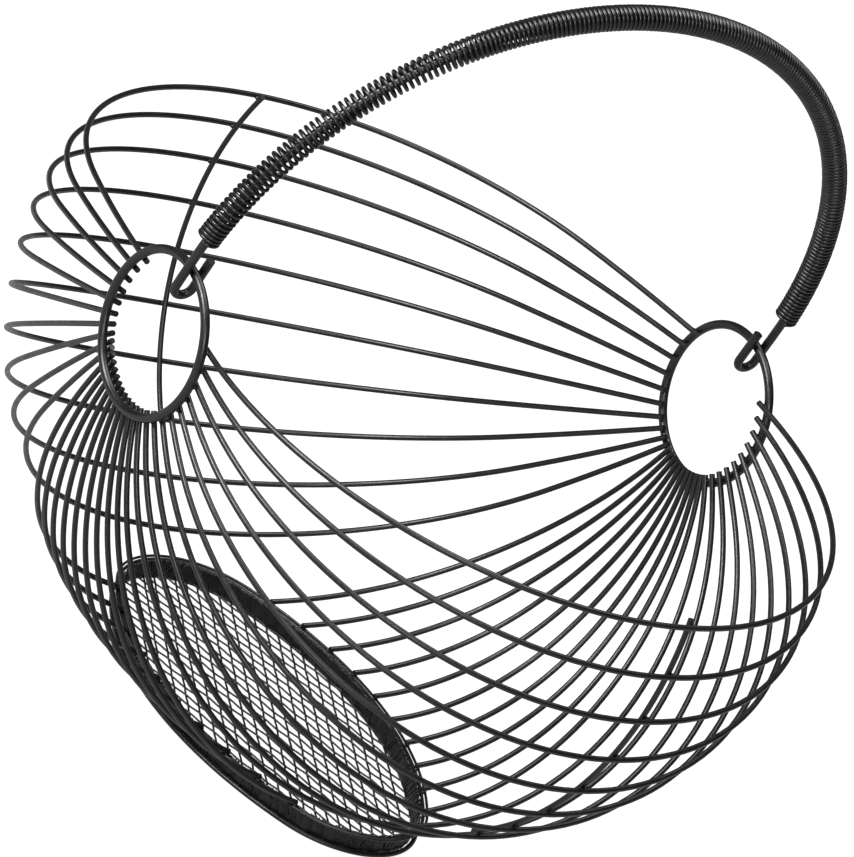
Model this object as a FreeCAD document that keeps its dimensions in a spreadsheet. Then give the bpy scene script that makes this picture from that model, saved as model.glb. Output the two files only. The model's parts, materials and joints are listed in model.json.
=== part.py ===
"""Wire egg basket with a swinging, coil-gripped bail handle. Millimetres, +Z up.

Two upright rings face each other across X. Every wall wire is a flat loop whose plane holds the X
direction: it leaves the left ring, dips to a crown half way across, and comes back up to the right
ring. Shorter wires run from each ring down to the oval base: a shallow mesh pan with two thin hoops
round its edge, and a third that it stands on.
The origin is the middle of the bounding box, on the surface that the basket stands on.
"""
import FreeCAD, Part
import os
from math import asin, atan2, cos, degrees, hypot, pi, radians, sin, sqrt
import Sketcher

Vector = FreeCAD.Vector
doc = FreeCAD.newDocument("egg_basket")

DRIVING = {
    # rings: centre-line radius, rod, distance of each ring's plane from the middle, axis position
    "ring_radius": 33.4, "ring_rod": 3.8, "ring_plane": 147.6,
    "axis_height": 176.8, "axis_shift": -7.0,
    # wall wires: rod, clearance at a weld, tail that stands past the ring into its hole
    "wire_rod": 2.4, "weld_gap": 0.05, "tail": 3.2,
    # where the wires meet each ring, in degrees from its top: first, step to the next, loss per step
    "far_left_first": 59.4, "far_left_step": 11.7, "far_left_loss": 0.82,
    "far_right_first": 59.5, "far_right_step": 15.15, "far_right_loss": 1.04,
    "near_left_first": 67.9, "near_left_step": 12.8, "near_left_loss": 0.63,
    "near_right_first": 58.3, "near_right_step": 11.4, "near_right_loss": 0.46,
    # the crowns lie on one circle each side: its centre from the ring axis, radius, first angle
    # above the horizontal, step down to the next crown and growth of that step
    "far_centre_out": 79.4, "far_centre_up": -38.8, "far_radius": 124.6,
    "far_first": 23.0, "far_step": 9.0, "far_growth": 0.47,
    "near_centre_out": 41.3, "near_centre_up": -19.7, "near_radius": 148.4,
    "near_first": 10.6, "near_step": 8.58, "near_growth": 0.0,
    # shape of the wires: outward lean where they leave the rings, with its loss from wire to wire,
    # and the radius of the flanks as a share of reach squared over half the span, with its gain
    "far_lean": -8.4, "far_lean_loss": 0.0, "far_flank_share": 2.8, "far_flank_gain": 0.0,
    "near_lean": 3.9, "near_lean_loss": 0.22, "near_flank_share": 1.27, "near_flank_gain": 0.04,
    # braces: rod, distance from the middle, wires crossed, length past the last of them
    "brace_rod": 2.4, "far_brace_place": 12.0, "near_brace_place": 4.6,
    "far_brace_clearance": 0.66, "near_brace_clearance": 0.12, "braced_wires": 8, "brace_tail": 3.0,
    # oval base: half width, half length, radius of its ends, centre from the ring axis
    "base_half_width": 58.4, "base_half_length": 98.7, "base_end_radius": 42.0, "base_shift": 3.4,
    "outer_hoop_rod": 1.2, "inner_hoop_rod": 1.5, "hoop_step": 1.5,
    # the base is a shallow pan: height of the outer hoop at its edge, drop to the inner hoop, rod of
    # the hoop that it stands on, thickness of the folded mesh wall between them, height of the floor
    "outer_hoop_height": 9.45, "inner_hoop_drop": 0.7, "foot_hoop_rod": 2.0,
    "wall_thickness": 1.8, "wall_overrun": 0.4, "mesh_height": 1.0,
    # diamond mesh: strand, its angle from the long axis, distance between strands
    "strand": 0.9, "strand_angle": 23.6, "strand_spacing": 5.13,
    # base wires: outward lean at the ring, half the spread of their feet along the base and where
    # its middle is, height and slope of the feet, length past the outer hoop
    "base_lean": 2.4, "foot_spread": 73.6, "foot_shift": -5.1,
    "foot_height": 11.1, "foot_slope": 12.0, "foot_overrun": 1.8,
    # handle: rod, height of its crown above the ring axis, lean of the rest position
    "handle_rod": 3.8, "handle_rise": 192.0, "handle_lean": 10.0,
    "hook_radius": 4.1, "hook_drop": 7.9, "hook_tip": 7.0,
    # coil grip: outside, wire, height above the ring axis where it begins on each side
    "grip_outside": 10.6, "grip_wire": 1.6, "grip_start": 50.0,
}
WIRES_PER_SIDE = 10
BASE_WIRES_PER_RING = 10

sheet = doc.addObject("Spreadsheet::Sheet", "Dimensions")
size = {}


def set_cell(word, value):
    """Write one number in the sheet under its own name, and keep it for this script."""
    row = len(size) + 1
    sheet.set("A%d" % row, word)
    sheet.set("B%d" % row, "%.6f" % value)
    sheet.setAlias("B%d" % row, word)
    size[word] = value


for word, value in DRIVING.items():
    set_cell(word, value)
doc.recompute()


# ---------------------------------------------------------------- sketch helpers

def origin_plane(body, role):
    return next(item for item in body.Origin.OriginFeatures if item.Role == role)


def add_sketch(body, name, role):
    sketch = body.newObject("Sketcher::SketchObject", name)
    sketch.AttachmentSupport = [(origin_plane(body, role), "")]
    sketch.MapMode = "FlatFace"
    return sketch


def constrain(sketch, *terms):
    return sketch.addConstraint(Sketcher.Constraint(*terms))


def dimension(sketch, word, cell, *terms, unit=""):
    """Add a sketch dimension that follows a cell of the sheet."""
    value = radians(size[cell]) if unit else size[cell]
    index = constrain(sketch, *terms, value)
    sketch.renameConstraint(index, word)
    sketch.setExpression("Constraints." + word, "Dimensions." + cell + unit)


def add_arc(sketch, centre, start, end):
    """Arc round a centre from start to end, both (x, y), going anticlockwise."""
    radius = hypot(start[0] - centre[0], start[1] - centre[1])
    first = atan2(start[1] - centre[1], start[0] - centre[0])
    last = atan2(end[1] - centre[1], end[0] - centre[0])
    if last <= first:
        last += 2 * pi
    circle = Part.Circle(Vector(centre[0], centre[1], 0), Vector(0, 0, 1), radius)
    return sketch.addGeometry(Part.ArcOfCircle(circle, first, last))


def add_line(sketch, start, end):
    return sketch.addGeometry(Part.LineSegment(Vector(*start, 0), Vector(*end, 0)))


START, END, CENTRE = 1, 2, 3            # the points of a sketch element
X_AXIS, Y_AXIS = -1, -2                 # the axes of a sketch
ORIGIN = (X_AXIS, START)


def round_profile(body, role, rod_cell, place_cell):
    """Circle of the rod's size on the sketch's X axis, at the place given by a cell."""
    sketch = add_sketch(body, "section", role)
    circle = Part.Circle(Vector(size[place_cell], 0, 0), Vector(0, 0, 1), size[rod_cell] / 2)
    item = sketch.addGeometry(circle)
    constrain(sketch, "PointOnObject", item, CENTRE, X_AXIS)
    dimension(sketch, "place", place_cell, "DistanceX", *ORIGIN, item, CENTRE)
    dimension(sketch, "rod", rod_cell, "Diameter", item)
    return sketch


def pipe(body, section, path, edges):
    sweep = body.newObject("PartDesign::AdditivePipe", "rod")
    sweep.Profile = section
    sweep.Spine = (path, ["Edge%d" % (number + 1) for number in range(edges)])
    return sweep


def mirror(body, feature, role):
    other_half = body.newObject("PartDesign::Mirrored", "other_half")
    other_half.Originals = [feature]
    other_half.MirrorPlane = (origin_plane(body, role), [""])
    body.Tip = other_half


def new_body(label):
    body = doc.addObject("PartDesign::Body", label)
    body.Label = label
    return body


def place(item, origin, x_axis, y_axis):
    """Put an object's own X and Y axes along the given directions, at the given point."""
    z_axis = x_axis.cross(y_axis)
    item.Placement = FreeCAD.Placement(origin, FreeCAD.Rotation(x_axis, y_axis, z_axis, "XYZ"))


# ---------------------------------------------------------------- geometry of the wires

def two_arcs(start, start_way, end, end_way):
    """Two tangent arcs between points with given directions: the join and both radii."""
    gap = (end[0] - start[0], end[1] - start[1])
    ways = (start_way[0] + end_way[0], start_way[1] + end_way[1])
    spread = 2 * (1 - start_way[0] * end_way[0] - start_way[1] * end_way[1])
    along = gap[0] * ways[0] + gap[1] * ways[1]
    reach = (sqrt(along ** 2 + spread * (gap[0] ** 2 + gap[1] ** 2)) - along) / spread
    join = tuple((start[i] + end[i] + reach * (start_way[i] - end_way[i])) / 2 for i in (0, 1))

    def radius(point, way):
        side = (join[0] - point[0]) * way[1] - (join[1] - point[1]) * way[0]
        return hypot(join[0] - point[0], join[1] - point[1]) ** 2 / (2 * abs(side))

    return join, radius(start, start_way), radius(end, end_way)


def ring_point(angle):
    """Centre of the ring's rod, (y, z), at an angle in degrees from the ring's top."""
    return (size["axis_shift"] + size["ring_radius"] * sin(radians(angle)),
            size["axis_height"] + size["ring_radius"] * cos(radians(angle)))


def wire_angles(side, end):
    """Angles from the ring's top, in degrees, at which the side's wall wires meet one ring."""
    cell = "%s_%s_" % (side, end)
    angles = [size[cell + "first"]]
    step = size[cell + "step"]
    while len(angles) < WIRES_PER_SIDE:
        angles.append(angles[-1] + step)
        step -= size[cell + "loss"]
    return angles


def crown_angles(side):
    angles = [size[side + "_first"]]
    step = size[side + "_step"]
    while len(angles) < WIRES_PER_SIDE:
        angles.append(angles[-1] - step)
        step += size[side + "_growth"]
    return angles


def crown_centre(side):
    """Centre, (y, z), of the circle that the side's crowns lie on."""
    out = SIDES[side] * size[side + "_centre_out"]
    return size["axis_shift"] + out, size["axis_height"] + size[side + "_centre_up"]


SIDES = {"far": 1, "near": -1}
ENDS = {"left": -1, "right": 1}
set_cell("weld_offset", (size["ring_rod"] + size["wire_rod"]) / 2 + size["weld_gap"])


def crown_point(side, angle):
    """Lowest point, (0, y, z), that a wall wire is drawn towards."""
    centre_y, centre_z = crown_centre(side)
    out = size[side + "_radius"] * cos(radians(angle))
    return Vector(0, centre_y + SIDES[side] * out, centre_z + size[side + "_radius"] * sin(radians(angle)))


def flank_and_crown(half_span, reach, lean, flank_radius):
    """Crown radius and join of a flank arc, leaning out at the weld, with a crown arc on the Y axis."""
    flank_x = half_span - flank_radius * cos(lean)
    flank_y = flank_radius * sin(lean)
    drop = flank_y - reach
    crown_radius = (flank_radius ** 2 - flank_x ** 2 - drop ** 2) / (2 * (drop + flank_radius))
    turn = atan2(reach - crown_radius - flank_y, -flank_x)
    return crown_radius, (flank_x + flank_radius * cos(turn), flank_y + flank_radius * sin(turn))


def add_wall_wire(side, number, left_angle, right_angle, crown_angle):
    """Loop from ring to ring: half of it is drawn in its own plane, then mirrored across."""
    name = "%s_wire_%02d" % (side, number)
    weld_x = size["ring_plane"] - size["weld_offset"]
    left = Vector(-weld_x, *ring_point(SIDES[side] * left_angle))
    right = Vector(weld_x, *ring_point(SIDES[side] * right_angle))
    across = (right - left).normalize()
    middle = (left + right) / 2
    down = crown_point(side, crown_angle) - middle
    down = down - across * down.dot(across)
    reach = down.Length
    half_span = (right - left).Length / 2
    lean_angle = size[side + "_lean"] - size[side + "_lean_loss"] * (number - 1)
    lean = radians(lean_angle)
    share = size[side + "_flank_share"] + size[side + "_flank_gain"] * (number - 1)
    flank_radius = share * reach ** 2 / half_span
    crown_radius, join = flank_and_crown(half_span, reach, lean, flank_radius)
    weld = (half_span, 0)
    crown = (0, reach)
    set_cell(name + "_reach", reach)
    set_cell(name + "_half_span", half_span)
    set_cell(name + "_flank", flank_radius)
    set_cell(name + "_tail_angle", 90 - lean_angle)

    body = new_body(name)
    path = add_sketch(body, "path", "XY_Plane")
    tail_end = (weld[0] - size["tail"] * sin(lean), -size["tail"] * cos(lean))
    flank_centre = (weld[0] - flank_radius * cos(lean), flank_radius * sin(lean))
    top = add_arc(path, (0, reach - crown_radius), join, crown)
    flank = add_arc(path, flank_centre, weld, join)
    tail = add_line(path, tail_end, weld)
    constrain(path, "PointOnObject", top, CENTRE, Y_AXIS)
    constrain(path, "PointOnObject", top, END, Y_AXIS)
    constrain(path, "PointOnObject", flank, START, X_AXIS)
    constrain(path, "Tangent", top, START, flank, END)
    constrain(path, "Tangent", flank, START, tail, END)
    dimension(path, "reach", name + "_reach", "DistanceY", *ORIGIN, top, END)
    dimension(path, "half_span", name + "_half_span", "DistanceX", *ORIGIN, flank, START)
    dimension(path, "flank_radius", name + "_flank", "Radius", flank)
    dimension(path, "tail_length", "tail", "Distance", tail)
    dimension(path, "tail_angle", name + "_tail_angle", "Angle", tail, unit=" * 1 deg")

    section = round_profile(body, "YZ_Plane", "wire_rod", name + "_reach")
    mirror(body, pipe(body, section, path, 3), "YZ_Plane")
    place(body, middle, across, down / reach)


def oval_half_width(inset, along):
    """Half width of the base oval, drawn in by inset, at a distance along its length."""
    end_radius = size["base_end_radius"] - inset
    half_width = size["base_half_width"] - inset
    half_length = size["base_half_length"] - inset
    side_radius = oval_side_radius(half_width, half_length, end_radius)
    join = oval_join(half_width, half_length, end_radius)
    if abs(along) <= join[1]:
        return half_width - side_radius + sqrt(side_radius ** 2 - along ** 2)
    return sqrt(end_radius ** 2 - (abs(along) - half_length + end_radius) ** 2)


def oval_side_radius(half_width, half_length, end_radius):
    """Radius of the long sides, tangent to the end arcs."""
    square = half_width ** 2 + half_length ** 2 - 2 * half_length * end_radius
    return square / (2 * (half_width - end_radius))


def oval_join(half_width, half_length, end_radius):
    """Point where a long side meets an end arc."""
    side_radius = oval_side_radius(half_width, half_length, end_radius)
    side_centre = half_width - side_radius
    turn = atan2(half_length - end_radius, -side_centre)
    return side_centre + side_radius * cos(turn), side_radius * sin(turn)


def add_base_wire(end, number):
    """Wire from the lower part of a ring, round and inwards to its foot on the base hoops."""
    name = "%s_base_wire_%02d" % (end, number)
    far_last = wire_angles("far", end)[-1]
    near_last = 360 - wire_angles("near", end)[-1]
    step = (near_last - far_last) / (BASE_WIRES_PER_RING + 1)
    ring_y, ring_z = ring_point(far_last + step * number)
    order = 1 - 2 * (number - 1) / (BASE_WIRES_PER_RING - 1)
    along = size["foot_spread"] * order + size["foot_shift"]
    foot_y = size["axis_shift"] + size["base_shift"] + along
    reach = hypot(foot_y - ring_y, size["foot_height"] - ring_z)
    half_span = size["ring_plane"] - size["weld_offset"]
    lean = radians(size["base_lean"])
    weld = (half_span, size["tail"] * cos(lean))
    foot = (oval_half_width(size["foot_overrun"], along), weld[1] + reach)
    slope = radians(size["foot_slope"])
    leaving, landing = (sin(lean), cos(lean)), (-cos(slope), sin(slope))
    join, flank_radius, foot_radius = two_arcs(weld, leaving, foot, landing)
    cell = name + "_"
    set_cell(cell + "foot_place", foot[0])
    set_cell(cell + "foot_reach", foot[1])
    set_cell(cell + "flank", flank_radius)
    set_cell(cell + "toe", foot_radius)

    body = new_body(name)
    path = add_sketch(body, "path", "XY_Plane")
    toe_centre = (foot[0] - foot_radius * sin(slope), foot[1] - foot_radius * cos(slope))
    flank_centre = (weld[0] - flank_radius * cos(lean), weld[1] + flank_radius * sin(lean))
    tail = add_line(path, (size["base_tail_place"], 0), weld)
    flank = add_arc(path, flank_centre, weld, join)
    toe = add_arc(path, toe_centre, join, foot)
    constrain(path, "PointOnObject", tail, START, X_AXIS)
    constrain(path, "Tangent", tail, END, flank, START)
    constrain(path, "Tangent", flank, END, toe, START)
    dimension(path, "tail_place", "base_tail_place", "DistanceX", *ORIGIN, tail, START)
    dimension(path, "tail_angle", "base_tail_angle", "Angle", tail, unit=" * 1 deg")
    dimension(path, "tail_length", "tail", "Distance", tail)
    dimension(path, "flank_radius", cell + "flank", "Radius", flank)
    dimension(path, "toe_radius", cell + "toe", "Radius", toe)
    dimension(path, "foot_place", cell + "foot_place", "DistanceX", *ORIGIN, toe, END)
    dimension(path, "foot_reach", cell + "foot_reach", "DistanceY", *ORIGIN, toe, END)
    pipe(body, round_profile(body, "XZ_Plane", "wire_rod", "base_tail_place"), path, 3)
    down = Vector(0, foot_y - ring_y, size["foot_height"] - ring_z) / reach
    tail_end = Vector(0, ring_y, ring_z) - down * weld[1]
    place(body, tail_end, Vector(ENDS[end], 0, 0), down)


# ---------------------------------------------------------------- rings, wall wires, base wires

for end, way in ENDS.items():
    ring = doc.addObject("Part::Torus", "ring_" + end)
    ring.Label = "ring_" + end
    ring.setExpression("Radius1", "Dimensions.ring_radius")
    ring.setExpression("Radius2", "Dimensions.ring_rod / 2")
    middle = Vector(way * size["ring_plane"], size["axis_shift"], size["axis_height"])
    place(ring, middle, Vector(0, 1, 0), Vector(0, 0, 1))

for side in SIDES:
    angles = zip(wire_angles(side, "left"), wire_angles(side, "right"), crown_angles(side))
    for number, (left_angle, right_angle, crown_angle) in enumerate(angles, 1):
        add_wall_wire(side, number, left_angle, right_angle, crown_angle)

base_lean = radians(size["base_lean"])
set_cell("base_tail_angle", 90 - size["base_lean"])
set_cell("base_tail_place", size["ring_plane"] - size["weld_offset"] - size["tail"] * sin(base_lean))
for end in ENDS:
    for number in range(1, BASE_WIRES_PER_RING + 1):
        add_base_wire(end, number)


# ---------------------------------------------------------------- braces across the wall wires

def add_brace(side):
    """Curved rod welded under the side's upper wires, in a plane square to X."""
    first = size[side + "_first"]
    last = crown_angles(side)[int(size["braced_wires"]) - 1]
    inset = (size["wire_rod"] + size["brace_rod"]) / 2 + size[side + "_brace_clearance"]
    radius = size[side + "_radius"] - inset
    overrun = degrees(size["brace_tail"] / radius)
    set_cell(side + "_brace_radius", radius)
    set_cell(side + "_brace_angle", first - last + 2 * overrun)

    body = new_body("brace_" + side)
    section = round_profile(body, "XZ_Plane", "brace_rod", side + "_brace_radius")
    turn = body.newObject("PartDesign::Revolution", "rod")
    turn.Profile = section
    turn.ReferenceAxis = (section, ["V_Axis"])
    turn.Midplane = True
    turn.setExpression("Angle", "Dimensions.%s_brace_angle * 1 deg" % side)
    middle = radians((first + last) / 2)
    outward = Vector(0, SIDES[side] * cos(middle), sin(middle))
    centre = Vector(size[side + "_brace_place"], *crown_centre(side))
    place(body, centre, outward, Vector(1, 0, 0).cross(outward))


for side in SIDES:
    add_brace(side)


# ---------------------------------------------------------------- oval base: hoops, pan rim, mesh

def add_oval_path(body, inset):
    """Half of an oval, from one long side round an end to the other."""
    half_width = size["base_half_width"] - inset
    half_length = size["base_half_length"] - inset
    end_radius = size["base_end_radius"] - inset
    side_radius = oval_side_radius(half_width, half_length, end_radius)
    join = oval_join(half_width, half_length, end_radius)
    centre = half_width - side_radius
    cell = body.Label + "_"
    set_cell(cell + "half_width", half_width)
    set_cell(cell + "side_radius", side_radius)
    set_cell(cell + "end_radius", end_radius)

    path = add_sketch(body, "path", "XY_Plane")
    right = add_arc(path, (centre, 0), (half_width, 0), join)
    tip = add_arc(path, (0, half_length - end_radius), join, (-join[0], join[1]))
    left = add_arc(path, (-centre, 0), (-join[0], join[1]), (-half_width, 0))
    constrain(path, "PointOnObject", right, CENTRE, X_AXIS)
    constrain(path, "PointOnObject", right, START, X_AXIS)
    constrain(path, "PointOnObject", tip, CENTRE, Y_AXIS)
    constrain(path, "PointOnObject", left, CENTRE, X_AXIS)
    constrain(path, "PointOnObject", left, END, X_AXIS)
    constrain(path, "Tangent", right, END, tip, START)
    constrain(path, "Tangent", tip, END, left, START)
    constrain(path, "Equal", right, left)
    dimension(path, "half_width", cell + "half_width", "DistanceX", *ORIGIN, right, START)
    dimension(path, "side_radius", cell + "side_radius", "Radius", right)
    dimension(path, "end_radius", cell + "end_radius", "Radius", tip)
    return path


def base_point(height):
    return Vector(0, size["axis_shift"] + size["base_shift"], height)


def add_hoop(label, inset, rod_cell, height):
    body = new_body(label)
    path = add_oval_path(body, inset)
    section = round_profile(body, "XZ_Plane", rod_cell, label + "_half_width")
    mirror(body, pipe(body, section, path, 3), "XZ_Plane")
    place(body, base_point(height), Vector(1, 0, 0), Vector(0, 1, 0))


def add_oval_plate(label, inset, thickness):
    """Oval outline, drawn in by inset, raised into a plate."""
    half_width = size["base_half_width"] - inset
    half_length = size["base_half_length"] - inset
    x, y = oval_join(half_width, half_length, size["base_end_radius"] - inset)
    joins = [Vector(x, y, 0), Vector(-x, y, 0), Vector(-x, -y, 0), Vector(x, -y, 0)]
    tips = [Vector(0, half_length, 0), Vector(-half_width, 0, 0), Vector(0, -half_length, 0)]
    tips.append(Vector(half_width, 0, 0))
    arcs = [Part.Arc(joins[i], tips[i], joins[(i + 1) % 4]).toShape() for i in range(4)]
    outline = doc.addObject("Part::Feature", label + "_outline")
    outline.Shape = Part.Face(Part.Wire(arcs))
    plate = doc.addObject("Part::Extrusion", label)
    plate.Base = outline
    plate.DirMode = "Normal"
    plate.Solid = True
    plate.setExpression("LengthFwd", "Dimensions." + thickness)
    return plate


def add_pan_rim():
    """Upright wall of the pan, inside the hoops, where the mesh is folded back on itself."""
    outer_inset = size["hoop_step"] + size["inner_hoop_rod"] / 2 + size["weld_gap"]
    set_cell("wall_height", size["outer_hoop_height"] + size["wall_overrun"])
    outside = add_oval_plate("pan_outside", outer_inset, "wall_height")
    inside = add_oval_plate("pan_inside", outer_inset + size["wall_thickness"], "wall_height")
    rim = doc.addObject("Part::Cut", "mesh_pan_rim")
    rim.Label = "mesh_pan_rim"
    rim.Base = outside
    rim.Tool = inside
    place(rim, base_point(0), Vector(1, 0, 0), Vector(0, 1, 0))
    return outer_inset + size["wall_thickness"] + size["weld_gap"]


def add_strands(name, slant, height, inset):
    """One family of straight parallel strands, trimmed to the inside of the pan rim."""
    half_width = size["base_half_width"] - inset
    half_length = size["base_half_length"] - inset
    turn = radians(slant)
    spread = hypot(half_width * cos(turn), half_length * sin(turn))
    count = 2 * int(spread / size["strand_spacing"]) + 1
    lane = hypot(half_width, half_length)
    across = Vector(cos(turn), sin(turn), 0)
    along = Vector(-sin(turn), cos(turn), 0)
    laid = FreeCAD.Rotation(Vector(0, 0, 1), along)
    rods = []
    for number in range(count):
        rod = doc.addObject("Part::Cylinder", "%s_strand_%02d" % (name, number))
        rod.setExpression("Radius", "Dimensions.strand / 2")
        rod.Height = 2 * lane
        offset = size["strand_spacing"] * (number - (count - 1) / 2)
        rod.Placement = FreeCAD.Placement(across * offset - along * lane + Vector(0, 0, height), laid)
        rods.append(rod)
    return rods


add_hoop("base_hoop_outer", 0, "outer_hoop_rod", size["outer_hoop_height"])
inner_height = size["outer_hoop_height"] - size["inner_hoop_drop"]
add_hoop("base_hoop_inner", size["hoop_step"], "inner_hoop_rod", inner_height)
mesh_inset = add_pan_rim()
foot_inset = size["hoop_step"] + (size["inner_hoop_rod"] - size["foot_hoop_rod"]) / 2
add_hoop("base_hoop_foot", foot_inset, "foot_hoop_rod", size["foot_hoop_rod"] / 2)
low_layer = size["mesh_height"]
high_layer = low_layer + size["strand"] + size["weld_gap"]
strands = add_strands("left", size["strand_angle"], low_layer, mesh_inset)
strands += add_strands("right", -size["strand_angle"], high_layer, mesh_inset)
bundle = doc.addObject("Part::Compound", "strand_bundle")
bundle.Links = strands
trim = add_oval_plate("mesh_outline", mesh_inset, "wall_height")
mesh = doc.addObject("Part::Common", "base_mesh")
mesh.Label = "base_mesh"
mesh.Base = bundle
mesh.Tool = trim
place(mesh, base_point(0), Vector(1, 0, 0), Vector(0, 1, 0))


# ---------------------------------------------------------------- handle and its coil grip

lean = radians(size["handle_lean"])
handle_up = Vector(0, -sin(lean), cos(lean))
ring_axis = Vector(0, size["axis_shift"], size["axis_height"])
set_cell("leg_place", size["ring_plane"] + size["hook_radius"])
set_cell("hook_height", size["ring_radius"] - size["hook_drop"])
set_cell("tip_height", size["ring_radius"] + size["hook_tip"])


def add_handle():
    """Bail of one rod: half an arch, a leg outside the ring and a hook through its hole."""
    leg, crown = size["leg_place"], size["handle_rise"]
    shoulder = crown - leg
    hook, tip = size["hook_height"], size["tip_height"]
    inner = leg - 2 * size["hook_radius"]
    body = new_body("handle_rod")
    path = add_sketch(body, "path", "XY_Plane")
    arch = add_arc(path, (0, shoulder), (leg, shoulder), (0, crown))
    outer_leg = add_line(path, (leg, shoulder), (leg, hook))
    bend = add_arc(path, (leg - size["hook_radius"], hook), (inner, hook), (leg, hook))
    inner_leg = add_line(path, (inner, hook), (inner, tip))
    constrain(path, "PointOnObject", arch, CENTRE, Y_AXIS)
    constrain(path, "PointOnObject", arch, END, Y_AXIS)
    constrain(path, "Tangent", arch, START, outer_leg, START)
    constrain(path, "Tangent", outer_leg, END, bend, END)
    constrain(path, "Tangent", bend, START, inner_leg, START)
    constrain(path, "Vertical", outer_leg)
    constrain(path, "Vertical", inner_leg)
    dimension(path, "crown", "handle_rise", "DistanceY", *ORIGIN, arch, END)
    dimension(path, "leg", "leg_place", "DistanceX", *ORIGIN, outer_leg, START)
    dimension(path, "bend_radius", "hook_radius", "Radius", bend)
    dimension(path, "bend_height", "hook_height", "DistanceY", *ORIGIN, outer_leg, END)
    dimension(path, "tip", "tip_height", "DistanceY", *ORIGIN, inner_leg, END)
    section = round_profile(body, "YZ_Plane", "handle_rod", "handle_rise")
    mirror(body, pipe(body, section, path, 4), "YZ_Plane")
    place(body, ring_axis, Vector(1, 0, 0), handle_up)


def add_grip():
    """Sleeve of the size that the close coil fills, round the handle's arch."""
    shoulder = size["handle_rise"] - size["leg_place"]
    first = degrees(asin((size["grip_start"] - shoulder) / size["leg_place"]))
    set_cell("grip_inside", size["grip_outside"] - 2 * size["grip_wire"])
    set_cell("grip_angle", 180 - 2 * first)
    body = new_body("grip_coil")
    section = round_profile(body, "XZ_Plane", "grip_outside", "leg_place")
    bore = Part.Circle(Vector(size["leg_place"], 0, 0), Vector(0, 0, 1), size["grip_inside"] / 2)
    item = section.addGeometry(bore)
    constrain(section, "Coincident", item, CENTRE, 0, CENTRE)
    dimension(section, "bore", "grip_inside", "Diameter", item)
    turn = body.newObject("PartDesign::Revolution", "sleeve")
    turn.Profile = section
    turn.ReferenceAxis = (section, ["V_Axis"])
    turn.Midplane = True
    turn.setExpression("Angle", "Dimensions.grip_angle * 1 deg")
    place(body, ring_axis + handle_up * shoulder, handle_up, Vector(-1, 0, 0))


add_handle()
add_grip()


# ---------------------------------------------------------------- check and write every piece

doc.recompute()
for item in doc.Objects:
    if "Invalid" in item.State or "Error" in item.State:
        raise RuntimeError(item.Name + " did not build: " + str(item.State))

pieces = ["ring_left", "ring_right", "brace_far", "brace_near", "base_hoop_outer", "base_hoop_inner"]
pieces += ["base_hoop_foot", "mesh_pan_rim", "base_mesh", "handle_rod", "grip_coil"]
pieces += ["%s_wire_%02d" % (side, number + 1) for side in SIDES for number in range(WIRES_PER_SIDE)]
pieces += ["%s_base_wire_%02d" % (end, number + 1)
           for end in ENDS for number in range(BASE_WIRES_PER_RING)]
os.makedirs("parts", exist_ok=True)
for label in pieces:
    shape = doc.getObjectsByLabel(label)[0].Shape
    if shape.isNull() or not shape.isValid():
        raise RuntimeError(label + " has no valid shape")
for label in pieces:
    doc.getObjectsByLabel(label)[0].Shape.exportStep("parts/" + label + ".step")
whole = Part.makeCompound([doc.getObjectsByLabel(label)[0].Shape for label in pieces])
print("pieces", len(pieces), "box", whole.BoundBox)
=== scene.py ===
"""Egg collection basket: the finished looks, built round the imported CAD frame.

Metres throughout, in the CAD frame: X from the left ring to the right ring, Y across the basket to
its far side, Z up. The CAD rods, rings and hoops stay and get paint. New pieces are the wound coil
of the grip, the woven mesh and its folded edge, and the weld beads.
"""
import json
import math
import random

import bpy
import numpy as np
from mathutils import Matrix, Vector, noise
from mathutils.bvhtree import BVHTree


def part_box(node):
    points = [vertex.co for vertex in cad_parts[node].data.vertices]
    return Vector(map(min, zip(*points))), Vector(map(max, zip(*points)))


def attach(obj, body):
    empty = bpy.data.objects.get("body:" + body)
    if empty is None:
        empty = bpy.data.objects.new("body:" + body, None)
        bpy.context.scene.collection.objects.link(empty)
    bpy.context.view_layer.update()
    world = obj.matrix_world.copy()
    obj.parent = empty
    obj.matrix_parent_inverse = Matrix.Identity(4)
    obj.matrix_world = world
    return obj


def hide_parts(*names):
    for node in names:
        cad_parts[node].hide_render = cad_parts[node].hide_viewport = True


MM = 0.001
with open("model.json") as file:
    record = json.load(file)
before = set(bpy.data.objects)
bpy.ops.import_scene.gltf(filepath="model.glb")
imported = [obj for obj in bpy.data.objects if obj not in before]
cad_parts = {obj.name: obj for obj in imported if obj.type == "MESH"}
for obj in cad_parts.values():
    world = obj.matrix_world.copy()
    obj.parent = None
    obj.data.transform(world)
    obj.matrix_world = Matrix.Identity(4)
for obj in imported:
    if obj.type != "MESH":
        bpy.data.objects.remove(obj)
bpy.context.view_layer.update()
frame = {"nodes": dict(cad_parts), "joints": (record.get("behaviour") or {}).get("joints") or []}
scene = bpy.context.scene
nodes = frame["nodes"]
rng = random.Random(7)


# ---------------------------------------------------------------- camera

AIM = Vector((-3.1, -17.35, 154.5)) * MM
CAMERA_DISTANCE = 2.7493
CAMERA_AZIMUTH = math.radians(-43.24)
CAMERA_ELEVATION = math.radians(23.49)
CAMERA_ROLL = math.radians(27.24)
LENS = 285.94
SENSOR = 36.0

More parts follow.
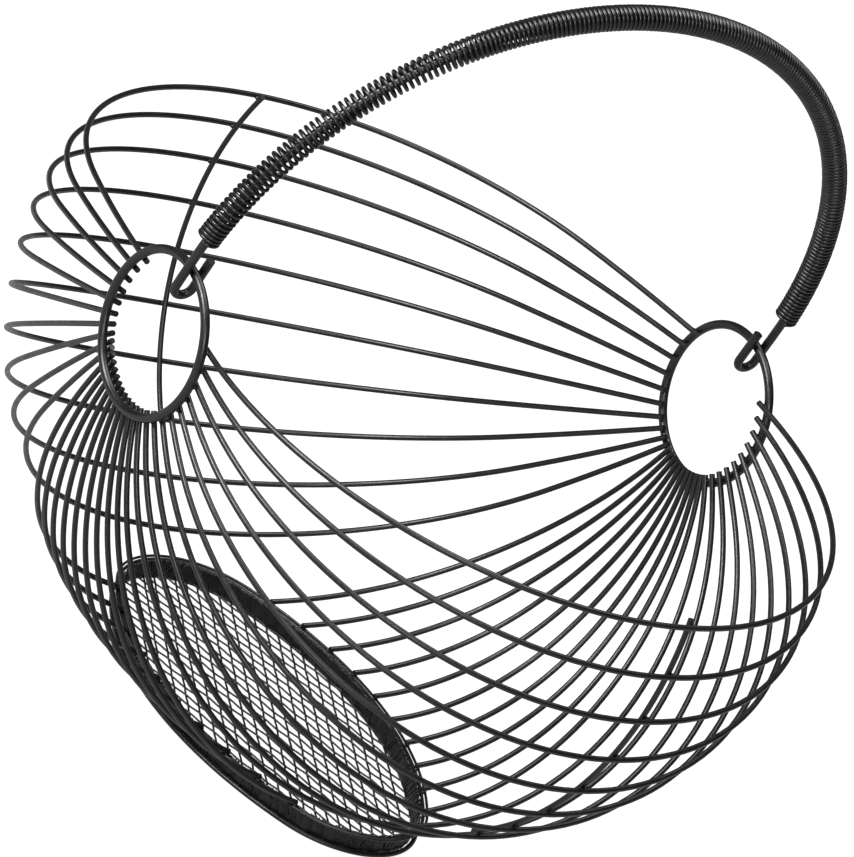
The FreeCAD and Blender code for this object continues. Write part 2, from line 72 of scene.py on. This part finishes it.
toward = Vector((
    math.sin(CAMERA_AZIMUTH) * math.cos(CAMERA_ELEVATION),
    -math.cos(CAMERA_AZIMUTH) * math.cos(CAMERA_ELEVATION),
    math.sin(CAMERA_ELEVATION),
))
level = Vector((0, 0, 1)).cross(toward).normalized()
upright = toward.cross(level)
right = level * math.cos(CAMERA_ROLL) + upright * math.sin(CAMERA_ROLL)
above = upright * math.cos(CAMERA_ROLL) - level * math.sin(CAMERA_ROLL)
lens = bpy.data.cameras.new("camera")
lens.lens = LENS
lens.sensor_width = SENSOR
lens.sensor_fit = "HORIZONTAL"
lens.clip_end = 50
camera = bpy.data.objects.new("camera", lens)
turn = Matrix((right, above, toward)).transposed().to_4x4()
camera.matrix_world = Matrix.Translation(AIM + toward * CAMERA_DISTANCE) @ turn
scene.collection.objects.link(camera)
scene.camera = camera


# ---------------------------------------------------------------- materials

def node(tree, kind, **values):
    """A new node with its settings and its unlinked inputs."""
    made = tree.nodes.new(kind)
    for word, value in values.items():
        if word in made.inputs:
            made.inputs[word].default_value = value
        else:
            setattr(made, word, value)
    return made


def noise_at(tree, place, scale, detail, roughness):
    made = node(tree, "ShaderNodeTexNoise", Scale=scale, Detail=detail, Roughness=roughness)
    tree.links.new(place, made.inputs["Vector"])
    return made.outputs["Fac"]


def spread(tree, value, low, high, to_low, to_high):
    made = node(tree, "ShaderNodeMapRange")
    for word, number in zip(("From Min", "From Max", "To Min", "To Max"), (low, high, to_low, to_high)):
        made.inputs[word].default_value = number
    tree.links.new(value, made.inputs["Value"])
    return made.outputs["Result"]


def mix(tree, share, first, second):
    made = node(tree, "ShaderNodeMix", data_type="RGBA")
    tree.links.new(share, made.inputs["Factor"])
    for socket, colour in ((made.inputs[6], first), (made.inputs[7], second)):
        if isinstance(colour, tuple):
            socket.default_value = (*colour, 1)
        else:
            tree.links.new(colour, socket)
    return made.outputs[2]


def paint(name, dark, light, roughness, peel, coat):
    """Powder-coated wire: slow change of shade, fine orange peel, dull patches and pale scuffs."""
    material = bpy.data.materials.new(name)
    material.use_nodes = True
    tree = material.node_tree
    shader = tree.nodes["Principled BSDF"]
    place = node(tree, "ShaderNodeTexCoord").outputs["Object"]
    shade = spread(tree, noise_at(tree, place, 45, 3, 0.55), 0.35, 0.65, 0, 1)
    grain = spread(tree, noise_at(tree, place, 1900, 2, 0.6), 0.62, 0.78, 0, 0.55)
    scuff = spread(tree, noise_at(tree, place, 260, 5, 0.7), 0.66, 0.74, 0, 0.5)
    colour = mix(tree, shade, dark, light)
    colour = mix(tree, grain, colour, tuple(c * 2.1 for c in light))
    colour = mix(tree, scuff, colour, tuple(c * 3.0 + 0.008 for c in light))
    tree.links.new(colour, shader.inputs["Base Color"])
    patches = noise_at(tree, place, 170, 4, 0.6)
    rough = spread(tree, patches, 0.3, 0.7, roughness - 0.07, roughness + 0.1)
    tree.links.new(rough, shader.inputs["Roughness"])
    shader.inputs["Specular IOR Level"].default_value = 0.5
    shader.inputs["Coat Weight"].default_value = coat
    shader.inputs["Coat Roughness"].default_value = 0.3
    waves = node(tree, "ShaderNodeBump", Strength=0.5, Distance=peel)
    tree.links.new(noise_at(tree, place, 620, 2, 0.5), waves.inputs["Height"])
    fine = node(tree, "ShaderNodeBump", Strength=0.35, Distance=peel * 0.4)
    tree.links.new(noise_at(tree, place, 2600, 2, 0.5), fine.inputs["Height"])
    tree.links.new(waves.outputs["Normal"], fine.inputs["Normal"])
    tree.links.new(fine.outputs["Normal"], shader.inputs["Normal"])
    return material


FRAME_PAINT = paint("frame_paint", (0.0018, 0.0019, 0.0026), (0.0052, 0.0054, 0.007), 0.36, 0.00007, 0.1)
MESH_PAINT = paint("mesh_paint", (0.0016, 0.0017, 0.0022), (0.0045, 0.0047, 0.006), 0.42, 0.00008, 0.0)
GRIP_PAINT = paint("grip_paint", (0.0016, 0.0017, 0.0022), (0.0042, 0.0044, 0.0056), 0.32, 0.00004, 0.2)


def floor_material():
    material = bpy.data.materials.new("floor_white")
    material.use_nodes = True
    tree = material.node_tree
    shader = tree.nodes["Principled BSDF"]
    place = node(tree, "ShaderNodeTexCoord").outputs["Object"]
    shade = noise_at(tree, place, 3, 2, 0.5)
    tree.links.new(mix(tree, shade, (0.17, 0.17, 0.17), (0.19, 0.19, 0.19)), shader.inputs["Base Color"])
    shader.inputs["Roughness"].default_value = 0.9
    shader.inputs["Specular IOR Level"].default_value = 0.1
    shader.inputs["Emission Color"].default_value = (1, 1, 1, 1)
    seen = node(tree, "ShaderNodeLightPath").outputs["Is Camera Ray"]
    tree.links.new(spread(tree, seen, 0, 1, 0.35, 0.93), shader.inputs["Emission Strength"])
    return material


# ---------------------------------------------------------------- mesh helpers

def new_piece(name, points, faces, material, body):
    mesh = bpy.data.meshes.new(name)
    mesh.from_pydata([tuple(p) for p in points], [], faces)
    mesh.polygons.foreach_set("use_smooth", [True] * len(mesh.polygons))
    mesh.materials.append(material)
    piece = bpy.data.objects.new(name, mesh)
    scene.collection.objects.link(piece)
    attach(piece, body)
    return piece


class Heap:
    """Vertices and faces of several closed shapes, gathered for one piece."""

    def __init__(self):
        self.points, self.faces = [], []

    def add(self, points, faces):
        start = len(self.points)
        self.points.extend(points)
        self.faces.extend([tuple(start + i for i in face) for face in faces])

    def tube(self, path, radius, sides, closed=False, side=None):
        """Round wire along a path, with domed ends. side sets where its first edge lies."""
        path = np.asarray(path, float)
        ahead = np.roll(path, -1, 0) - np.roll(path, 1, 0)
        if not closed:
            ahead[0], ahead[-1] = path[1] - path[0], path[-1] - path[-2]
        ahead /= np.linalg.norm(ahead, axis=1)[:, None]
        normal = np.array(side if side is not None else (0.0, 0.0, 1.0))
        frames = []
        for t in ahead:
            normal = normal - t * (normal @ t)
            normal /= np.linalg.norm(normal)
            frames.append((normal.copy(), np.cross(t, normal)))
        rings = [(p, n, b, radius) for p, (n, b) in zip(path, frames)]
        if not closed:
            first, last = rings[0], rings[-1]
            caps = [(0.92, 0.38), (0.71, 0.71), (0.38, 0.92)]
            head = [(first[0] - ahead[0] * radius * out * 0.5, *first[1:3], radius * wide)
                    for out, wide in reversed([(o, w) for w, o in caps])]
            rear = [(last[0] + ahead[-1] * radius * out * 0.5, *last[1:3], radius * wide)
                    for out, wide in [(o, w) for w, o in caps]]
            rings = head + rings + rear
        angles = np.arange(sides) * 2 * math.pi / sides
        cos, sin = np.cos(angles)[:, None], np.sin(angles)[:, None]
        points = np.concatenate([p + (cos * n + sin * b) * r for p, n, b, r in rings])
        count = len(rings)
        faces = []
        for i in range(count if closed else count - 1):
            a, b = i * sides, (i + 1) % count * sides
            faces += [(a + k, a + (k + 1) % sides, b + (k + 1) % sides, b + k) for k in range(sides)]
        if not closed:
            faces.append(tuple(reversed(range(sides))))
            faces.append(tuple((count - 1) * sides + k for k in range(sides)))
        self.add([Vector(p) for p in points], faces)

    def bead(self, centre, along, length, width, lump):
        """Small uneven weld bead, longest in the direction along."""
        turn = Vector(along).to_track_quat("Z", "Y")
        rows, cols = 7, 10
        points, faces = [], []
        for i in range(rows + 1):
            polar = math.pi * i / rows
            for k in range(cols if 0 < i < rows else 1):
                spin = 2 * math.pi * k / cols
                unit = Vector((math.sin(polar) * math.cos(spin), math.sin(polar) * math.sin(spin), math.cos(polar)))
                grow = 1 + lump * noise.noise(unit * 1.7 + Vector(centre) * 900)
                points.append(Vector(centre) + turn @ Vector((unit.x * width, unit.y * width, unit.z * length)) * grow)
        start = [0] + [1 + cols * (i - 1) for i in range(1, rows)] + [1 + cols * (rows - 1)]
        for k in range(cols):
            j = (k + 1) % cols
            faces.append((0, start[1] + k, start[1] + j))
            for i in range(1, rows - 1):
                faces.append((start[i] + k, start[i + 1] + k, start[i + 1] + j, start[i] + j))
            faces.append((start[rows - 1] + k, start[rows], start[rows - 1] + j))
        self.add(points, faces)


# ---------------------------------------------------------------- paint on the CAD rods

for name, item in nodes.items():
    item.data.materials.clear()
    item.data.materials.append(FRAME_PAINT)
    item.data.polygons.foreach_set("use_smooth", [True] * len(item.data.polygons))


# ---------------------------------------------------------------- coil grip

HANDLE_RISE = 192.0 * MM
HANDLE_LEAN = math.radians(10)
LEG_PLACE = 151.7 * MM
GRIP_START = 50.0 * MM
COIL_WIRE = 1.6 * MM
COIL_RADIUS = 4.5 * MM
WIDE_PITCH = 2.66 * MM
CLOSE_PITCH = 1.93 * MM
END_PITCH = 1.75 * MM
WIDE_UNTIL = 118 * MM
CLOSE_FROM = 140 * MM
END_LENGTH = 5 * MM

joint = frame["joints"][0]
axis_point = Vector(joint["pos_m"])
handle_up = Vector((0, -math.sin(HANDLE_LEAN), math.cos(HANDLE_LEAN)))
arch_centre = axis_point + handle_up * (HANDLE_RISE - LEG_PLACE)
arch_first = math.asin((GRIP_START - HANDLE_RISE + LEG_PLACE) / LEG_PLACE)
arch_length = LEG_PLACE * (math.pi - 2 * arch_first)


def coil_pitch(along):
    """Advance per turn at a distance along the arch from its left end."""
    if along < END_LENGTH or along > arch_length - END_LENGTH:
        return END_PITCH
    share = min(1, max(0, (along - WIDE_UNTIL) / (CLOSE_FROM - WIDE_UNTIL)))
    open_end = min(1, (along - END_LENGTH) / (12 * MM))
    wide = END_PITCH + (WIDE_PITCH - END_PITCH) * open_end
    return wide + (CLOSE_PITCH - wide) * share


def make_coil():
    steps = 22
    arch_side = Vector((1, 0, 0)).cross(handle_up)
    path, along, spin = [], COIL_WIRE / 2, 0.6
    wobble = 1.0
    count = 0
    while along < arch_length - COIL_WIRE / 2:
        angle = arch_first + along / LEG_PLACE
        out = Vector((-math.cos(angle), 0, 0)) + handle_up * math.sin(angle)
        radius = COIL_RADIUS * (1 + 0.006 * math.sin(spin * 0.37) - 0.006)
        centre = arch_centre + out * LEG_PLACE
        path.append(centre + (out * math.cos(spin) + arch_side * math.sin(spin)) * radius)
        if count % steps == 0:
            wobble = 1 + rng.uniform(-0.05, 0.05)
        spin += 2 * math.pi / steps
        along += coil_pitch(along) * wobble / steps
        count += 1
    tail = (path[-1] - path[-2]).normalized()
    path += [path[-1] + tail * step * MM for step in (0.6, 1.2, 1.8)]
    heap = Heap()
    heap.tube(path, COIL_WIRE / 2, 10, side=tuple(path[0] - arch_centre))
    coil = new_piece("grip_coil_wound", heap.points, heap.faces, GRIP_PAINT, "handle")
    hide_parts("grip_coil")


make_coil()


# ---------------------------------------------------------------- base: woven mesh and folded edge

HALF_WIDTH = 58.4 * MM
HALF_LENGTH = 98.7 * MM
END_RADIUS = 42.0 * MM
STRAND = 0.9 * MM
STRAND_ANGLE = math.radians(23.6)
STRAND_SPACING = 5.13 * MM
WALL_OUTER_INSET = 2.3 * MM
WALL_THICKNESS = 1.8 * MM
WALL_HEIGHT = 9.85 * MM
MESH_INSET = 4.15 * MM
MESH_MIDDLE = 1.475 * MM
WEAVE_LIFT = 0.2 * MM

hoop_low, hoop_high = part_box("base_hoop_outer")
base_centre = (hoop_low + hoop_high) / 2
base_centre.z = 0


def oval(inset):
    """Arcs of the base oval, drawn in by inset: end radius, side radius and turn where they meet."""
    width, length, end = HALF_WIDTH - inset, HALF_LENGTH - inset, END_RADIUS - inset
    side = (width ** 2 + length ** 2 - 2 * length * end) / (2 * (width - end))
    return width, length, end, side


def oval_half_width(inset, along):
    width, length, end, side = oval(inset)
    turn = math.atan2(length - end, side - width)
    if abs(along) <= side * math.sin(turn):
        return width - side + math.sqrt(side ** 2 - along ** 2)
    return math.sqrt(max(0, end ** 2 - (abs(along) - length + end) ** 2))


def oval_path(inset, count):
    """Points at even steps round the oval, anticlockwise from +X."""
    width, length, end, side = oval(inset)
    turn = math.atan2(length - end, side - width)
    quarter = side * turn + end * (math.pi / 2 - turn)
    points = []
    for i in range(count):
        place = 4 * quarter * i / count
        part, left = int(place // quarter), place % quarter
        if part % 2:
            left = quarter - left
        if left <= side * turn:
            x = width - side + side * math.cos(left / side)
            y = side * math.sin(left / side)
        else:
            angle = turn + (left - side * turn) / end
            x, y = end * math.cos(angle), length - end + end * math.sin(angle)
        x *= -1 if part in (1, 2) else 1
        y *= -1 if part in (2, 3) else 1
        points.append(Vector((x, y, 0)))
    return points


def inside_oval(point, inset):
    return abs(point.y) < HALF_LENGTH - inset and abs(point.x) < oval_half_width(inset, point.y)


def strand_lines():
    """Both families of strands: the line's foot, direction, family and number from the middle."""
    for family, slant in ((0, STRAND_ANGLE), (1, -STRAND_ANGLE)):
        across = Vector((math.cos(slant), math.sin(slant), 0))
        along = Vector((-math.sin(slant), math.cos(slant), 0))
        width = math.hypot((HALF_WIDTH - MESH_INSET) * math.cos(slant), (HALF_LENGTH - MESH_INSET) * math.sin(slant))
        count = 2 * int(width / STRAND_SPACING) + 1
        for number in range(count):
            order = number - (count - 1) // 2
            yield across * STRAND_SPACING * order, along, family, order


def smooth(run, parts):
    """Catmull-Rom curve through a few points."""
    ends = [run[0] * 2 - run[1], *run, run[-1] * 2 - run[-2]]
    path = []
    for a, b, c, d in zip(ends, ends[1:], ends[2:], ends[3:]):
        for i in range(parts):
            t = i / parts
            path.append(0.5 * (b * 2 + (c - a) * t + (a * 2 - b * 5 + c * 4 - d) * t ** 2
                               + (b * 3 - a - c * 3 + d) * t ** 3))
    return path + [run[-1]]


def strand_span(foot, along, inset):
    """Distances along a strand, from its foot, between which it is inside the oval drawn in by inset."""
    step = 0.2 * MM
    lane = int(HALF_LENGTH / step)
    inside = [i * step for i in range(-lane, lane + 1) if inside_oval(foot + along * (i * step), inset)]
    return (inside[0], inside[-1]) if inside else (0, 0)


def make_mesh():
    """Woven floor of the pan: each strand goes over one of the other family and under the next."""
    heap = Heap()
    step = STRAND_SPACING / math.sin(2 * STRAND_ANGLE) / 8
    for foot, along, family, order in strand_lines():
        low, high = strand_span(foot, along, MESH_INSET - 0.4 * MM)
        if high - low < 4 * MM:
            continue
        path = []
        count = max(4, round((high - low) / step))
        for i in range(count + 1):
            point = foot + along * (low + (high - low) * i / count)
            slant = STRAND_ANGLE if family else -STRAND_ANGLE
            other = (point.x * math.cos(slant) + point.y * math.sin(slant)) / STRAND_SPACING
            sign = 1 if (order + family) % 2 else -1
            lift = WEAVE_LIFT * sign * math.cos(math.pi * other)
            path.append(base_centre + point + Vector((0, 0, MESH_MIDDLE + lift)))
        heap.tube(path, STRAND / 2, 7)
    mesh = new_piece("base_mesh_woven", heap.points, heap.faces, MESH_PAINT, "basket")
    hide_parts("base_mesh")


make_mesh()


def make_wall():
    """The mesh's edge, turned up and pressed into a lumpy wall, with its strand ends folded over."""
    heap = Heap()
    count = 760
    middle = oval_path(WALL_OUTER_INSET + WALL_THICKNESS / 2, count)
    profile = [(-0.62, 0.5), (-0.78, 1.6), (-0.8, 3.2), (-0.8, 4.9), (-0.8, 6.6), (-0.76, 8.1), (-0.5, 9.1),
               (0, 9.4), (0.5, 9.1), (0.76, 8.1), (0.8, 6.6), (0.8, 4.9), (0.8, 3.2), (0.78, 1.6), (0.62, 0.5),
               (0, 0.25)]
    sides = len(profile)
    points, faces = [], []
    for i, p in enumerate(middle):
        ahead = (middle[(i + 1) % count] - middle[i - 1]).normalized()
        out = Vector((ahead.y, -ahead.x, 0))
        for x, z in profile:
            spot = Vector((p.x * 330, p.y * 330, z * 0.42))
            lump = 0.55 + 0.75 * noise.noise(spot) + 0.5 * noise.noise(spot * 2.7)
            dip = 0.5 * noise.noise(Vector((p.x * 260, p.y * 260, 7.0))) if z > 8 else 0
            reach = min(0.85, abs(x) * max(0.22, lump))
            points.append(base_centre + p + out * math.copysign(reach, x) * MM + Vector((0, 0, z + dip)) * MM)
    for i in range(count):
        a, b = i * sides, (i + 1) % count * sides
        faces += [(a + k, a + (k + 1) % sides, b + (k + 1) % sides, b + k) for k in range(sides)]
    heap.add(points, faces)
    # strand ends, each turned up inside the wall, over its top edge and down outside
    inner = WALL_OUTER_INSET + WALL_THICKNESS - STRAND / 2
    outer = WALL_OUTER_INSET + STRAND / 2
    for foot, along, family, order in strand_lines():
        for end, way in zip(strand_span(foot, along, inner), (-1, 1)):
            heading = along * way
            if end == 0:
                continue
            for fold in range(3):
                low = slide(foot + along * end, heading, (fold * 1.7 + rng.uniform(-0.5, 0.5)) * MM, inner)
                drift = rng.uniform(0.6, 1.8) * (-1 if fold == 1 else 1)
                spots = []
                for share, inset, height in (
                        (0, inner, 1.6), (0.35, inner, 3.6), (0.7, inner, 6.4), (1.0, inner, 8.6),
                        (1.05, (inner + outer) / 2, 9.3), (1.1, outer, 8.6), (1.4, outer, 6.2),
                        (1.7, outer, rng.uniform(2.0, 4.8))):
                    point = slide(low, heading, share * drift * 2.6 * MM, inset)
                    spots.append(base_centre + point + Vector((0, 0, height * MM)))
                heap.tube(smooth(spots, 3), STRAND / 2, 6)
    wall = new_piece("mesh_pan_rim_folded", heap.points, heap.faces, MESH_PAINT, "basket")
    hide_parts("mesh_pan_rim")


def slide(start, heading, distance, inset):
    """Point on the oval drawn in by inset, moved along it from start towards the heading's side."""
    around = Vector((-start.y / HALF_LENGTH ** 2, start.x / HALF_WIDTH ** 2, 0)).normalized()
    moved = start + around * math.copysign(distance, around.dot(heading))
    width, length, end, side = oval(inset)
    join = side * math.sin(math.atan2(length - end, side - width))
    if abs(moved.y) > join:
        middle = Vector((0, math.copysign(length - end, moved.y), 0))
        return middle + (moved - middle).normalized() * end
    return Vector((math.copysign(oval_half_width(inset, moved.y), moved.x), moved.y, 0))


make_wall()


# ---------------------------------------------------------------- weld beads

def surface(name):
    mesh = nodes[name].data
    return BVHTree.FromPolygons([v.co for v in mesh.vertices], [p.vertices for p in mesh.polygons])


def contact(first, trees, second):
    """Middle of the narrowest gap between a node's vertices and another node's surface."""
    best = None
    for v in nodes[first].data.vertices:
        hit, _, _, gap = trees[second].find_nearest(v.co, 6 * MM)
        if hit is not None and (best is None or gap < best[2]):
            best = (v.co.copy(), hit, gap)
    return (best[0] + best[1]) / 2 if best else None


WALL_WIRES = ["%s_wire_%02d" % (side, k) for side in ("far", "near") for k in range(1, 11)]
ANCHORS = ("ring_left", "ring_right", "brace_far", "brace_near", "base_hoop_outer", "base_hoop_inner")
trees = {name: surface(name) for name in ANCHORS}


def rod_direction(name, place):
    """Direction of a rod near a place, from the spread of its nearby vertices."""
    near = np.array([v.co for v in nodes[name].data.vertices if (v.co - place).length < 7 * MM])
    if len(near) < 4:
        return Vector((1, 0, 0))
    return Vector(np.linalg.svd(near - near.mean(0))[2][0])


def make_ring_welds(end):
    ring = "ring_" + end
    heap = Heap()
    wires = WALL_WIRES + ["%s_base_wire_%02d" % (end, k) for k in range(1, 11)]
    for wire in wires:
        place = contact(wire, trees, ring)
        if place is not None:
            heap.bead(place, rod_direction(wire, place), 1.9 * MM, 1.05 * MM, 0.35)
    new_piece("welds_" + ring, heap.points, heap.faces, FRAME_PAINT, "basket")


def make_brace_welds(side):
    brace = "brace_" + side
    heap = Heap()
    for wire in WALL_WIRES:
        if wire.startswith(side):
            place = contact(wire, trees, brace)
            if place is not None:
                heap.bead(place, rod_direction(wire, place), 1.25 * MM, 0.95 * MM, 0.3)
    new_piece("welds_" + brace, heap.points, heap.faces, FRAME_PAINT, "basket")


def make_base_welds():
    heap = Heap()
    for end in ("left", "right"):
        for k in range(1, 11):
            wire = "%s_base_wire_%02d" % (end, k)
            place = contact(wire, trees, "base_hoop_outer")
            if place is not None:
                heap.bead(place, rod_direction(wire, place), 1.4 * MM, 0.75 * MM, 0.3)
    new_piece("welds_base", heap.points, heap.faces, FRAME_PAINT, "basket")


for end in ("left", "right"):
    make_ring_welds(end)
for side in ("far", "near"):
    make_brace_welds(side)
make_base_welds()


# ---------------------------------------------------------------- floor and light

def make_floor():
    half = 6.0
    mesh = bpy.data.meshes.new("floor")
    mesh.from_pydata([(-half, -half, 0), (half, -half, 0), (half, half, 0), (-half, half, 0)], [], [(0, 1, 2, 3)])
    mesh.materials.append(floor_material())
    floor = bpy.data.objects.new("floor", mesh)
    floor.location.z = -0.02 * MM
    scene.collection.objects.link(floor)


def area_light(name, place, size, power):
    light = bpy.data.lights.new(name, "AREA")
    light.shape = "DISK"
    light.size = size
    light.energy = power
    item = bpy.data.objects.new(name, light)
    item.location = place
    item.rotation_euler = (Vector(place) - AIM).to_track_quat("Z", "Y").to_euler()
    scene.collection.objects.link(item)


make_floor()
area_light("key", (-1.25, 0.1, 1.25), 0.8, 40)
area_light("top", (0.25, 0.1, 1.9), 1.4, 26)
area_light("front", (-1.0, -1.5, 1.0), 0.7, 14)

world = bpy.data.worlds.new("studio")
world.use_nodes = True
sky = world.node_tree.nodes["Background"]
sky.inputs["Color"].default_value = (1, 1, 1, 1)
seen = world.node_tree.nodes.new("ShaderNodeLightPath").outputs["Is Camera Ray"]
strength = spread(world.node_tree, seen, 0, 1, 0.08, 1.0)
world.node_tree.links.new(strength, sky.inputs["Strength"])
scene.world = world
scene.view_settings.view_transform = "Standard"
